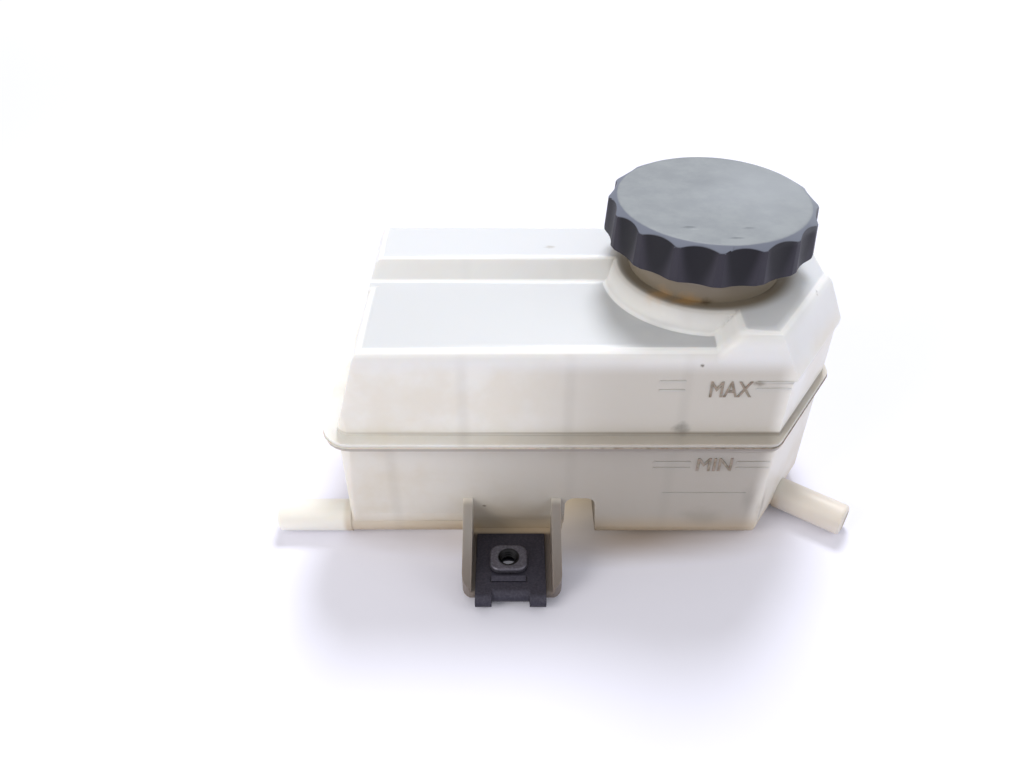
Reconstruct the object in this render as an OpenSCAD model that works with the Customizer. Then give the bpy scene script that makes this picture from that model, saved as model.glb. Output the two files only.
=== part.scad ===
// Translucent brake fluid reservoir: two welded shells, screw cap, strainer and a clip nut on its bracket.
// Millimetres, +Z up. Lengths run along X from the left end wall, depths along Y from the front wall,
// heights along Z from the surface that the tank stands on, until to_origin() centres the whole part.

/* [Tank] */
// Length of the tank between its end walls at the weld
tank_length = 145.5; // [136:0.5:165]
// Depth of the tank between its front and back walls at the weld
tank_depth = 62; // [58:0.5:76]
// Height of the weld plane
weld_height = 43.7; // [38:0.1:52]
// Height of the front deck
deck_height = 73; // [70:0.5:76]
// Height of the rear ridge and the filler plateau
plateau_height = 79; // [78:0.5:90]
// Wall thickness of both shells
wall = 2.2; // [1.6:0.1:3]
// Radius of the upright corners
corner_radius = 5; // [3:0.5:8]
// Draft of the front and back walls of the upper shell, in degrees
draft = 2.35; // [1:0.05:4]

/* [Weld flange] */
// How far the flange stands out of the front and back walls, and of the left wall's front stretch
flange_out = 3.7; // [2.5:0.1:6]
// How far the flange stands out of the chamfered and right walls
flange_out_right = 1.6; // [1:0.1:4]
// How far the flange stands out of the rest of the left wall
flange_out_left = 0.8; // [0.4:0.1:2]
// Depth at which the left flange starts to draw in
flange_step = 22; // [16:0.5:26]
// Run over which the left flange draws in
flange_step_run = 13; // [8:0.5:18]
// Thickness of each shell's flange
flange_thickness = 1.3; // [1:0.1:3]

/* [Chamfered corner] */
// How much of the length the front right chamfer takes
chamfer_length = 20.7; // [16:0.1:26]
// Radius of the upright edges at the chamfer's two ends
chamfer_edge_radius = 3; // [2.5:0.5:5]
// Angle of the chamfer's outward normal, forward of the right end
chamfer_angle = 35; // [30:1:40]

/* [Upper shell] */
// How far the left end leans in between the weld and the deck
left_lean = 8.5; // [4:0.5:12]
// How far the ridge's left end leans in further, above the deck
ridge_end_lean = 2.3; // [1:0.1:4]
// Height of the ledge at the full mark
full_ledge_height = 63.7; // [58:0.1:68]
// How far the wall above the full ledge stands proud of the wall below
full_ledge_step = 0.9; // [0.5:0.1:1.5]
// How far the walls above the full ledge lean in at the right
right_lean = 6; // [3:0.5:7]
// Radius of the edge round the top
top_radius = 4; // [2.5:0.5:5]
// Depth from the front wall to the foot of the ridge
ridge_foot = 36; // [32:0.5:44]
// How far the ridge's face leans back
ridge_lean = 4.5; // [2:0.5:8]
// Length from the left end to the foot of the filler plateau
plateau_foot = 102.5; // [96:0.5:104]
// Run over which the plateau rises from the deck
plateau_run = 9.5; // [6:0.5:14]

/* [Filler neck] */
// Place of the neck along the length
neck_x = 105.3; // [100:0.1:108]
// Place of the neck along the depth
neck_y = 37.4; // [34:0.1:40]
// Outer radius of the neck
neck_radius = 21.5; // [20.5:0.1:22]
// Radius of the seat round the neck's foot, at its shoulder
seat_radius = 25.5; // [24.5:0.1:26]
// How much wider the seat is where it meets the deck
seat_spread = 2.5; // [1.5:0.1:3]
// Wall of the neck
neck_wall = 2.2; // [1.8:0.1:2.6]
// How far the neck stands above the plateau
neck_rise = 16.5; // [14:0.1:20]

/* [Lower shell] */
// Bottom front radius of the left sump
left_sump_radius = 12.5; // [8:0.5:15]
// Bottom edge radius elsewhere
bottom_radius = 6.5; // [4:0.5:8]
// How far the front and back walls lean in towards the bottom
sump_lean = 1.2; // [0.5:0.1:2.5]
// Left side of the notch between the sumps, from the left end
notch_x = 66; // [62:0.5:72]
// Width of the notch between the sumps
notch_width = 9; // [7:0.5:14]
// Height of the notch between the sumps
notch_height = 19; // [14:0.5:24]

/* [Hose spigots] */
// Outer radius of the spigots
spigot_radius = 5; // [4.5:0.1:5.3]
// Bore radius of the spigots
spigot_bore = 3.4; // [2.8:0.1:3.8]
// Height of the spigots' axes
spigot_height = 5.4; // [5.3:0.1:7]
// How far the left spigot stands out
left_spigot_length = 23; // [15:0.5:35]
// How far the right spigot stands out
right_spigot_length = 21.9; // [15:0.1:35]
// Distance of the left spigot's axis behind the front wall
left_spigot_y = 6.5; // [6:0.1:12]
// Distance of the right spigot's axis along the chamfer from its front end
right_spigot_along = 20; // [14:0.5:26]

/* [Bracket] */
// Middle of the bracket, from the left end
bracket_x = 50; // [40:0.5:50]
// Width of the bracket
bracket_width = 29.2; // [27:0.1:32]
// How far the bracket reaches in front of the front wall
bracket_reach = 23.4; // [21:0.1:30]
// Height of the bracket plate's top face
plate_top = 4.6; // [4.2:0.1:5.5]
// Thickness of the bracket plate
plate_thickness = 2.7; // [2.4:0.1:3]
// Thickness of the bracket's ribs
rib_thickness = 2.8; // [2:0.1:3.2]
// Height of the ribs where they meet the wall
rib_height = 19; // [14:0.5:24]
// Radius of the screw hole in the plate
plate_hole = 4.5; // [4:0.1:5]

/* [Clip nut] */
// Width of the spring clip
clip_width = 20.6; // [18:0.1:21]
// Thickness of the clip's steel
clip_steel = 0.9; // [0.6:0.1:1]
// How far the clip's two ears stand in front of its middle
ear_out = 1.9; // [1:0.1:3]
// Width of the nut across the bracket
nut_width = 11.2; // [10:0.1:13]
// Depth of the nut
nut_depth = 9.5; // [9:0.1:12]
// Height of the nut above the clip
nut_rise = 2; // [1.5:0.1:5]
// Thread radius of the nut at its crests
nut_bore = 2.5; // [2:0.1:3]
// Distance of the nut's axis in front of the front wall
nut_reach = 12.2; // [11:0.1:13]

/* [Cap] */
// Radius over the cap's ridges
cap_radius = 29.2; // [28.5:0.1:32]
// Radius of the cap's flat top
cap_disc = 26.1; // [24:0.1:27]
// Height of the cap
cap_height = 11.2; // [9:0.1:13]
// Thickness of the cap's top
cap_top = 2.4; // [1.8:0.1:3]
// Number of finger scallops
scallops = 16; // [12:1:20]
// Turn of the scallops from the length, in degrees
scallop_turn = 5.6; // [0:0.1:22]
// Depth of each scallop at the top
scallop_depth = 2; // [1.5:0.1:2.8]
// Thickness of the diaphragm's sealing flange
seal_thickness = 1.6; // [1.2:0.1:2.5]

/* [Strainer] */
// Depth of the strainer below the neck's rim
strainer_depth = 21; // [18:0.5:28]
// Wall of the strainer
strainer_wall = 1; // [0.8:0.1:1.4]
// Number of slots round the strainer
strainer_slots = 20; // [12:1:24]

/* [Hidden] */

milky = "#e4dfd2";
natural = "#d9d2c0";
cap_black = "#3a3a44";
rubber_black = "#26262a";
steel_black = "#35323a";
nut_grey = "#5b5860";

// Segments in a quarter turn of a rounded outline, and round a full circle.
arc_steps = 6;
round_fn = 64;
// Overlap that a cut runs past the surface it starts from.
past = 1;
// Gaps between pieces that fit together.
running_gap = 0.3;
thread_gap = 1.8;

// Rounding of the spigots' tips.
spigot_tip = 1.2;
// Heights over which the full ledge's face stands upright.
ledge_band = 1;
// How far the feet of soft slopes dip under the deck that they swell out of.
deck_dip = 0.25;

// Unit vectors of the chamfer in plan: outward, and along it from front to back.
chamfer_out = [cos(chamfer_angle), -sin(chamfer_angle)];
chamfer_along = [sin(chamfer_angle), cos(chamfer_angle)];
chamfer_start = [tank_length - chamfer_length, 0];

// Heights that stack from the plateau to the cap.
rim_height = plateau_height + neck_rise;
seal_top = rim_height + seal_thickness;
cap_ceiling = seal_top;
cap_crown = cap_ceiling + cap_top;
cap_foot = cap_crown - cap_height;
cap_bore = neck_radius + thread_gap;

// Bracket heights and the clip's fold.
plate_bottom = plate_top - plate_thickness;
plate_edge = plate_thickness / 2;
plate_middle = plate_bottom + plate_edge;
fold_inner = plate_edge;
fold_outer = fold_inner + clip_steel;
fold_y = -bracket_reach + plate_edge - running_gap;
ear_y = fold_y - ear_out;
clip_x = bracket_x - 0.4;
nut_x = bracket_x - 1;
bracket_left = bracket_x - bracket_width / 2;

// The part's box in plan, which to_origin() centres.
spigot_foot = chamfer_start + right_spigot_along * chamfer_along;
box_left = -left_spigot_length;
box_right = spigot_foot.x + (right_spigot_length - spigot_tip) * chamfer_out.x
    + (spigot_radius - spigot_tip) * chamfer_along.x + spigot_tip;
box_front = ear_y - fold_outer;
box_back = max(tank_depth + flange_out, neck_y + cap_radius);

module to_origin() {
    translate([-(box_left + box_right) / 2, -(box_front + box_back) / 2, 0]) children();
}

// Rounded outlines: each corner is [x, y, radius], in order against the clock.
function turned(v, a) = [v.x * cos(a) - v.y * sin(a), v.x * sin(a) + v.y * cos(a)];
function flat(c) = [c[0], c[1]];
function unit(v) = v / norm(v);
function corner_arc(before, at, after, radius) =
    radius <= 0 ? [at] :
    let (back = unit(before - at), on = unit(after - at),
         half = acos(back * on) / 2,
         centre = at + unit(back + on) * radius / sin(half),
         first = at + back * radius / tan(half) - centre,
         sweep = -sign(cross(back, on)) * (180 - 2 * half),
         steps = max(2, ceil(abs(sweep) / 90 * arc_steps)))
    [for (i = [0:steps]) centre + turned(first, sweep * i / steps)];
function rounded(corners) =
    let (n = len(corners))
    [for (i = [0:n - 1]) each corner_arc(
        flat(corners[(i + n - 1) % n]), flat(corners[i]), flat(corners[(i + 1) % n]), corners[i][2])];

// Prisms of a drawn side view: across() spans the length, along() spans the depth.
module across(x0, x1) {
    translate([x0, 0, 0]) rotate([90, 0, 90]) linear_extrude(x1 - x0) children();
}
module along(y0, y1) {
    translate([0, y1, 0]) rotate([90, 0, 0]) linear_extrude(y1 - y0) children();
}

// Plan of the tank, grown by out at the front, back and left and by out_right at the chamfer and right.
function plan(out, out_right) =
    let (edge = chamfer_start + out_right * chamfer_out,
         to_front = (-out - edge.y) / chamfer_along.y,
         to_right = (tank_length + out_right - edge.x) / chamfer_along.x,
         front_corner = edge + to_front * chamfer_along,
         right_corner = edge + to_right * chamfer_along,
         r = max(1, corner_radius + out),
         edge_r = max(0.5, chamfer_edge_radius + out_right))
    [[-out, -out, r], [front_corner.x, front_corner.y, edge_r], [right_corner.x, right_corner.y, edge_r],
     [tank_length + out_right, tank_depth + out, r], [-out, tank_depth + out, r]];

module plan_prism(out, out_right, z0, z1) {
    translate([0, 0, z0]) linear_extrude(z1 - z0) polygon(rounded(plan(out, out_right)));
}

// One shell's half of the weld flange, which draws in to the left wall behind the front corner.
module flange(z0) {
    outer = plan(flange_out, flange_out_right);
    translate([0, 0, z0]) linear_extrude(flange_thickness) polygon(rounded(concat(
        [outer[0], outer[1], outer[2], outer[3]],
        [[-flange_out_left, tank_depth + flange_out, corner_radius],
         [-flange_out_left, flange_step + flange_step_run, 15],
         [-flange_out, flange_step, 15]])));
}

// Half space behind the chamfer whose face is drawn as a side view: distance outward, height.
module chamfer_prism(profile) {
    reach = tank_length + tank_depth;
    translate([chamfer_start.x, chamfer_start.y, 0])
        rotate([0, 0, -chamfer_angle]) along(-reach, reach) polygon(profile);
}

// Solid form of the lower shell, drawn in by inset for its inside.
module lower_form(inset) {
    top = weld_height + (inset > 0 ? past : 0);
    lean = sump_lean + inset;
    notch_fillet = 3;
    difference() {
        intersection() {
            plan_prism(-inset, -inset, inset, top);
            along(-past, tank_depth + past) polygon(rounded([
                [inset, inset, bottom_radius - inset],
                [notch_x - inset, inset, notch_fillet],
                [notch_x - inset, notch_height + inset, notch_fillet],
                [notch_x + notch_width + inset, notch_height + inset, notch_fillet],
                [notch_x + notch_width + 1 + inset, inset, notch_fillet],
                [tank_length - inset, inset, bottom_radius - inset],
                [tank_length - inset, top, 0],
                [inset, top, 0]]));
            across(-past, tank_length + past) polygon(rounded([
                [lean, inset, bottom_radius - inset], [tank_depth - lean, inset, bottom_radius - inset],
                [tank_depth - inset, top, 0], [inset, top, 0]]));
            chamfer_prism(rounded([
                [-tank_length, inset, 0], [-inset, inset, bottom_radius - inset],
                [-inset, top, 0], [-tank_length, top, 0]]));
        }
        left_sump_edge(corner_arc([inset, top], [lean, inset], [tank_depth, inset], left_sump_radius - inset));
    }
}

// What the left sump's bottom front radius takes away: arc runs from its front wall to its floor.
// Its two end facets run a little past the wall and the floor.
module left_sump_edge(arc) {
    n = len(arc) - 1;
    overrun = 0.3;
    first = arc[0] + overrun * (arc[0] - arc[1]);
    last = arc[n] + overrun * (arc[n] - arc[n - 1]);
    across(-2 * past, notch_x + notch_width / 2) polygon(concat(
        [[-2 * past, -2 * past], [last.x, -2 * past], last], [for (i = [1:n - 1]) arc[n - i]],
        [first, [-2 * past, first.y]]));
}

// How far the drafted front and back walls have leaned in at a height above the weld.
function drafted(z) = (z - weld_height) * tan(draft);

// Side view of the chamfered and right walls with the full ledge: distance outward, height, radius.
function right_walls(inset, base) =
    let (proud = full_ledge_step - inset)
    [[-inset, base, 0], [-inset, full_ledge_height, 0], [proud, full_ledge_height, 0],
     [proud, full_ledge_height + ledge_band, 0], [proud - right_lean, plateau_height - inset, top_radius + 1]];

// Solid form of the upper shell, drawn in by inset for its inside.
module upper_form(inset) {
    base = weld_height - (inset > 0 ? past : 0);
    walls = right_walls(inset, base);
    top = plateau_height - inset;
    intersection() {
        plan_prism(-inset, full_ledge_step - inset, base, plateau_height);
        along(-past, tank_depth + past) polygon(rounded(concat(
            [[-past, base, 0]], [for (w = walls) [tank_length + w[0], w[1], w[2]]], [[-past, top, 0]])));
        chamfer_prism(rounded(concat([[-tank_length, base, 0]], walls, [[-tank_length, top, 0]])));
        union() {
            deck_and_ridge(inset, base);
            filler_plateau(inset, base);
            neck_seat(inset);
        }
    }
}

// Front deck with its rounded edge, and behind it the step up to the ridge.
module deck_and_ridge(inset, base) {
    deck = deck_height - inset;
    top = plateau_height - inset;
    foot_fillet = 2.5;
    toe = ridge_foot + inset - foot_fillet;
    rise = top - deck;
    intersection() {
        across(-past, tank_length + past) polygon(rounded([
            [inset, base, 0], [tank_depth - inset, base, 0],
            [tank_depth - inset - drafted(plateau_height), top, top_radius],
            [ridge_foot + ridge_lean + inset, top, foot_fillet],
            [ridge_foot + inset, deck, foot_fillet],
            [inset + drafted(deck_height), deck, top_radius]]));
        union() {
            along(-past, tank_depth + past) polygon(rounded([
                [inset, base, 0], [tank_length + past, base, 0], [tank_length + past, deck, 0],
                [left_lean + inset, deck, top_radius]]));
            intersection() {
                along(ridge_foot - 2 * rise, tank_depth + past) polygon(rounded([
                    [inset, base, 0], [tank_length + past, base, 0], [tank_length + past, top, 0],
                    [left_lean + ridge_end_lean + inset, top, top_radius],
                    [left_lean + inset, deck, 0]]));
                across(-past, tank_length + past) polygon([
                    [toe - ridge_lean, deck - rise], [tank_depth, deck - rise],
                    [tank_depth, top + past], [toe + ridge_lean, top + past], [toe + ridge_lean, top]]);
            }
        }
    }
}

// Closed skin over a row of rings, which are 3D outlines with the same number of points,
// against the clock as seen from beyond the last ring.
module skin(rings) {
    n = len(rings[0]);
    last = len(rings) - 1;
    polyhedron(points = [for (ring = rings) each ring], faces = concat(
        [[for (i = [0:n - 1]) i], [for (i = [1:n]) last * n + n - i]],
        [for (k = [0:last - 1], i = [0:n - 1])
            [k * n + i, k * n + n + i, k * n + n + (i + 1) % n, k * n + (i + 1) % n]]));
}

// The raised right part that carries the neck. Its rounded top swells out of the deck in a soft S-curve.
// Its front and back walls stand a hair proud of the deck's, so that no two faces share a plane.
module filler_plateau(inset, base) {
    foot = deck_height - deck_dip - inset;
    top = plateau_height - inset;
    stations = 10;
    front = inset - 0.02;
    back = tank_depth - front;
    function ring(x, height) = [for (p = rounded([
        [front, base, 0], [back, base, 0],
        [back - drafted(height + inset), height, top_radius],
        [front + drafted(height + inset), height, top_radius]])) [x, p.x, p.y]];
    skin([for (i = [0:stations])
            let (t = i / stations)
            ring(plateau_foot + inset + t * plateau_run, foot + (top - foot) * (1 - cos(180 * t)) / 2),
        ring(tank_length + past, top)]);
}

// Seat round the neck: a rounded shoulder level with the plateau, and a cove down to the deck.
module neck_seat(inset) {
    deck = deck_height - inset;
    top = plateau_height - inset;
    cove = 3.5;
    shoulder = 2;
    foot = seat_radius + seat_spread - inset;
    intersection() {
        translate([neck_x, neck_y, 0]) rotate_extrude($fn = round_fn) polygon(rounded([
            [0, deck - past, 0], [foot + cove, deck - past, 0], [foot + cove, deck - deck_dip, 0],
            [foot, deck, cove], [seat_radius - inset, top, shoulder], [0, top, 0]]));
        translate([0, 0, weld_height]) cube([tank_length, tank_depth - 2 * top_radius, plateau_height]);
    }
}

// Upright baffles: place along the length, reach from the front wall, bottom and top.
upper_baffles = [[36.5, 46, weld_height + 1, deck_height], [65.7, 50, weld_height + 1, deck_height],
    [97, 12, weld_height + 1, deck_height]];
lower_baffles = [[15, 44, 0, weld_height - 6], [notch_x + wall / 2, 50, notch_height - 3, weld_height - 1],
    [96, 46, 0, weld_height - 1]];

module baffle(b) {
    translate([b[0] - wall / 2, wall / 2, b[2]]) cube([wall, b[1] - wall / 2, b[3] - b[2]]);
}

module at_right_spigot() {
    translate([spigot_foot.x, spigot_foot.y, spigot_height])
        rotate([0, 0, -chamfer_angle]) rotate([0, 90, 0]) children();
}
module at_left_spigot() {
    translate([0, left_spigot_y, spigot_height]) rotate([0, -90, 0]) children();
}

// Hose spigot with a rounded tip. Behind the wall it runs on as a slightly smaller root.
module spigot(length, root) {
    root_radius = spigot_radius - 0.3;
    rotate_extrude($fn = round_fn) polygon(concat(
        [[0, -root], [root_radius, -root], [root_radius, 0], [spigot_radius, 0]],
        [for (a = [0:30:90]) [spigot_radius - spigot_tip + spigot_tip * cos(a),
            length - spigot_tip + spigot_tip * sin(a)]],
        [[0, length]]));
}
module spigot_hole(length, root) {
    translate([0, 0, -root]) cylinder(r = spigot_bore, h = length + root + past, $fn = round_fn);
}

// Bracket plate seen from above, with its rounded front corners.
module bracket_plan(back, height) {
    nose = 4.5;
    translate([bracket_left, 0, 0]) linear_extrude(height) polygon(rounded([
        [0, -bracket_reach, nose], [bracket_width, -bracket_reach, nose],
        [bracket_width, back, 0], [0, back, 0]]));
}

// Bracket: plate with a round front edge, two ribs and a root block under the left sump.
module bracket() {
    root = 6;
    block_top = left_sump_radius + 1.5;
    block_right = notch_x - 0.4;
    shy = 0.6;
    function wall_front(z) = sump_lean * (1 - z / weld_height) + shy;
    difference() {
        union() {
            intersection() {
                bracket_plan(wall, rib_height);
                across(bracket_left - past, bracket_left + bracket_width + past) polygon(rounded([
                    [-bracket_reach, plate_bottom, plate_edge - 0.05], [wall, plate_bottom, 0],
                    [wall, plate_top, 0], [-bracket_reach, plate_top, plate_edge - 0.05]]));
            }
            for (x = [bracket_left, bracket_left + bracket_width - rib_thickness])
                intersection() {
                    bracket_plan(2 * wall, rib_height + 2 * past);
                    across(x, x + rib_thickness) polygon(rounded([
                        [wall + 0.6, plate_bottom, 0], [wall + 0.6, rib_height + 1, 0], [0.4, rib_height, 0],
                        [-bracket_reach + 1, plate_top + 1.6, 1.5], [-bracket_reach, plate_bottom, 1]]));
                }
            intersection() {
                along(0, root) polygon(rounded([
                    [bracket_left, plate_bottom, 0], [block_right, plate_bottom, 2.5],
                    [block_right, block_top, 0], [bracket_left, block_top, 0]]));
                across(bracket_left - past, notch_x + past) polygon([
                    [wall_front(plate_bottom), plate_bottom], [root, plate_bottom], [root, block_top],
                    [wall_front(block_top), block_top]]);
            }
        }
        translate([nut_x, -nut_reach, 0]) cylinder(r = plate_hole, h = plate_top + past, $fn = round_fn);
    }
}

module lower_shell() {
    color(natural) to_origin() difference() {
        union() {
            difference() {
                union() {
                    lower_form(0);
                    flange(weld_height - flange_thickness);
                    at_left_spigot() spigot(left_spigot_length, bracket_left + rib_thickness / 2);
                    at_right_spigot() spigot(right_spigot_length, bottom_radius);
                    bracket();
                }
                lower_form(wall);
            }
            intersection() {
                lower_form(wall / 2);
                for (b = lower_baffles) baffle(b);
            }
        }
        at_left_spigot() spigot_hole(left_spigot_length, wall + 3);
        at_right_spigot() spigot_hole(right_spigot_length, wall + 4);
    }
}

module upper_shell() {
    counterbore = 1.3;
    neck_foot = min(deck_height, plateau_height) - 2 * wall;
    color(milky) to_origin() difference() {
        union() {
            difference() {
                union() {
                    upper_form(0);
                    flange(weld_height);
                    translate([neck_x, neck_y, neck_foot])
                        cylinder(r = neck_radius, h = rim_height - neck_foot, $fn = round_fn);
                }
                upper_form(wall);
            }
            intersection() {
                upper_form(wall / 2);
                for (b = upper_baffles) baffle(b);
            }
        }
        translate([neck_x, neck_y, neck_foot])
            cylinder(r = neck_radius - neck_wall, h = rim_height, $fn = round_fn);
        translate([neck_x, neck_y, rim_height - counterbore])
            cylinder(r = neck_radius - neck_wall / 2, h = counterbore + past, $fn = round_fn);
    }
}

// Basket that hangs in the neck by its flange, slotted round the side and across the floor.
module filler_strainer() {
    flange = neck_radius - neck_wall / 2 - running_gap / 2;
    flange_height = 1.3;
    outer = neck_radius - neck_wall - 1.4;
    floor_thickness = 1.2;
    slot_width = 2.8;
    slot_height = strainer_depth * 0.55;
    floor_slot = 2.2;
    floor_border = 3.5;
    color("#cfc8b4") to_origin() translate([neck_x, neck_y, rim_height]) difference() {
        union() {
            translate([0, 0, -flange_height]) cylinder(r = flange, h = flange_height, $fn = round_fn);
            translate([0, 0, -strainer_depth]) cylinder(r = outer, h = strainer_depth, $fn = round_fn);
        }
        translate([0, 0, floor_thickness - strainer_depth])
            cylinder(r = outer - strainer_wall, h = strainer_depth + past, $fn = round_fn);
        for (i = [0:strainer_slots - 1])
            rotate([0, 0, i * 360 / strainer_slots])
                translate([outer - 2 * strainer_wall, -slot_width / 2, floor_thickness + past - strainer_depth])
                    cube([3 * strainer_wall, slot_width, slot_height]);
        for (row = [-3:3])
            let (middle = 2 * row * floor_slot, half = sqrt(pow(outer - floor_border, 2) - pow(middle, 2)))
                translate([-half, middle - floor_slot / 2, -strainer_depth - past])
                    cube([2 * half, floor_slot, floor_thickness + 2 * past]);
    }
}

// Rubber diaphragm: sealing flange on the rim, one rolled convolution and a flat middle.
module cap_diaphragm() {
    skin = 1.2;
    roll_depth = 5;
    roll_width = 4;
    outer = cap_bore - running_gap;
    lip = 4.2;
    middle_top = 0.2;
    roll_out = neck_radius - neck_wall - lip;
    roll_in = roll_out - roll_width;
    color(rubber_black) to_origin() translate([neck_x, neck_y, rim_height]) rotate_extrude($fn = round_fn)
        polygon([
            [0, -skin], [roll_in - 2, -skin], [roll_in - 1, -roll_depth], [roll_out - 1, -roll_depth],
            [roll_out, 0], [outer, 0], [outer, seal_thickness], [roll_out - skin, seal_thickness],
            [roll_out - skin - 1, skin - roll_depth], [roll_in - 1 + skin, skin - roll_depth],
            [roll_in - 2 + skin, middle_top], [0, middle_top]]);
}

// Screw cap: side drawn in a little towards the top, sloping rim, and scallops that get shallower downwards.
module cap() {
    scallop_radius = 14;
    scallop_foot_depth = 1.1;
    side_lean = 0.6;
    rim_drop = 1.3;
    soften = 0.6;
    rim_blend = 2;
    scallop_lean = atan((scallop_depth - scallop_foot_depth) / cap_height);
    color(cap_black) to_origin() translate([neck_x, neck_y, 0]) difference() {
        rotate_extrude($fn = 2 * round_fn) polygon(rounded([
            [0, cap_foot, 0], [cap_radius, cap_foot, soften],
            [cap_radius - side_lean, cap_crown - rim_drop, soften],
            [cap_disc, cap_crown, rim_blend], [0, cap_crown, 0]]));
        translate([0, 0, cap_foot - past])
            cylinder(r = cap_bore, h = cap_ceiling - cap_foot + past, $fn = round_fn);
        for (i = [0:scallops - 1])
            rotate([0, 0, scallop_turn + i * 360 / scallops])
                translate([cap_radius - scallop_depth + scallop_radius, 0, cap_crown])
                    rotate([0, -scallop_lean, 0]) translate([0, 0, -cap_height - 2 * past])
                        cylinder(r = scallop_radius, h = cap_height + 4 * past, $fn = round_fn);
    }
}

// Side view of the clip: two legs joined by a round fold at y.
module clip_side(y, top_end, bottom_end) {
    difference() {
        union() {
            translate([y, plate_middle]) circle(r = fold_outer, $fn = round_fn / 2);
            translate([y, plate_middle]) square([top_end - y, fold_outer]);
            translate([y, plate_middle - fold_outer]) square([bottom_end - y, fold_outer]);
        }
        translate([y, plate_middle]) circle(r = fold_inner, $fn = round_fn / 2);
        translate([y, plate_bottom]) square([past - y + past, plate_thickness]);
    }
}

// Spring clip: a wide middle, two ears that reach further out, holes for the nut and the screw, and a slot.
module clip_spring() {
    ear = 4.8;
    upper_end = -1.4;
    lower_end = -4;
    left = clip_x - clip_width / 2;
    nut_hole = nut_bore + 1.5;
    screw_hole = nut_bore + 1.2;
    slot_length = 10.4;
    slot_width = 1.6;
    slot_gap = 1.2;
    color(steel_black) to_origin() difference() {
        union() {
            across(left + ear / 2, left + clip_width - ear / 2) clip_side(fold_y, upper_end, lower_end);
            for (x = [left, left + clip_width - ear]) across(x, x + ear) clip_side(ear_y, upper_end, lower_end);
        }
        translate([nut_x, -nut_reach, plate_top - past]) {
            cylinder(r = nut_hole, h = clip_steel + 2 * past, $fn = round_fn);
            translate([-slot_length / 2, -nut_depth / 2 - slot_gap - slot_width, 0])
                cube([slot_length, slot_width, clip_steel + 2 * past]);
        }
        translate([nut_x, -nut_reach, -past]) cylinder(r = screw_hole, h = plate_bottom + past, $fn = round_fn);
    }
}

// Rounded-square nut whose round collar fills the clip's hole.
module clip_nut() {
    seat = plate_top + clip_steel;
    wide = nut_width / 2;
    deep = nut_depth / 2;
    corner = 3;
    collar = nut_bore + 1.4;
    color(nut_grey) to_origin() translate([nut_x, -nut_reach, 0]) difference() {
        union() {
            translate([0, 0, seat]) linear_extrude(nut_rise) polygon(rounded([
                [-wide, -deep, corner], [wide, -deep, corner], [wide, deep, corner], [-wide, deep, corner]]));
            translate([0, 0, plate_top]) cylinder(r = collar, h = clip_steel + nut_rise, $fn = round_fn);
        }
        translate([0, 0, plate_top - past])
            cylinder(r = nut_bore, h = clip_steel + nut_rise + 2 * past, $fn = round_fn);
    }
}

lower_shell();
upper_shell();
filler_strainer();
cap_diaphragm();
cap();
clip_spring();
clip_nut();
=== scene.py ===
# %% [markdown]
# Brake fluid reservoir
# A brake fluid reservoir is two thin shells of natural polypropylene, moulded apart and welded at a flange.
# The solids come ready made as a fixed frame, so this lesson is about finish: how translucent plastic takes
# light, how moulded edges and threads are added, and how age and dirt sit on a used part.

# %% Load the solids
import math
import bpy
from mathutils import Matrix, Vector


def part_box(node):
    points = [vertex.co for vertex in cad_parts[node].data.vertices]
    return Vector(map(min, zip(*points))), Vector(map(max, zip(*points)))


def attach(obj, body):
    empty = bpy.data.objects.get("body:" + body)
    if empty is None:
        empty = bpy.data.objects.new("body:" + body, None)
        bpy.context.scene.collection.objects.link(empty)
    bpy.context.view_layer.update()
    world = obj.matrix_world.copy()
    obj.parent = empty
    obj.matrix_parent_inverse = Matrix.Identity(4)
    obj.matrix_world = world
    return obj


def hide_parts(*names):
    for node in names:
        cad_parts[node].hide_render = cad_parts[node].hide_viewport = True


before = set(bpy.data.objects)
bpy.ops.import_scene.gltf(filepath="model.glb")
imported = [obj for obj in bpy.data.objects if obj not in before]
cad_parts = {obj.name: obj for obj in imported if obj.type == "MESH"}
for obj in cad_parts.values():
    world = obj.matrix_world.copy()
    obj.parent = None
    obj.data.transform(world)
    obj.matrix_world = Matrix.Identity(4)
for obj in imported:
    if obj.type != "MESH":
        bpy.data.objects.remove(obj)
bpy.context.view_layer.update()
MM = 0.001

# %% [markdown]
# Every place on the tank is measured in millimetres from its left end wall, its front wall and the surface
# that it stands on, as a mould drawing would. The flange stands out of the walls by a known amount, so the
# box of the upper shell gives the walls, and the seam is the top of the lower shell. The neck's axis is the
# middle of the cap, and the nut has an axis of its own.

# %% Datum of the tank
FLANGE_OUT = 3.7
UPRIGHT = Vector((0, 0, 1))
upper_low, upper_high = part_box("upper_shell")
cap_low, cap_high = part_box("cap")
nut_low, nut_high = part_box("clip_nut")
TANK = Vector((upper_low.x + FLANGE_OUT * MM, upper_low.y + FLANGE_OUT * MM, 0))
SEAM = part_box("lower_shell")[1].z / MM
RIM = upper_high.z / MM
CROWN = cap_high.z / MM


def axis_of(low, high):
    """The upright axis through the middle of a box, given by its point on the floor."""
    return Vector(((low.x + high.x) / 2, (low.y + high.y) / 2, 0))


def spot(x, y, z):
    """A place on the tank, in millimetres from its left wall, front wall and base, as a point in metres."""
    return TANK + Vector((x, y, z)) * MM


NECK = axis_of(cap_low, cap_high)
NUT = axis_of(nut_low, nut_high)
print("seam at", round(SEAM, 2), "rim at", round(RIM, 2), "neck", [round(v / MM, 2) for v in NECK - TANK])

# %% [markdown]
# The camera stands in front of the tank, a little left of its middle, and looks down by 39 degrees.
# A 30 mm lens on a 36 mm sensor gives the near, slightly wide view of a hand-held picture.

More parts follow.
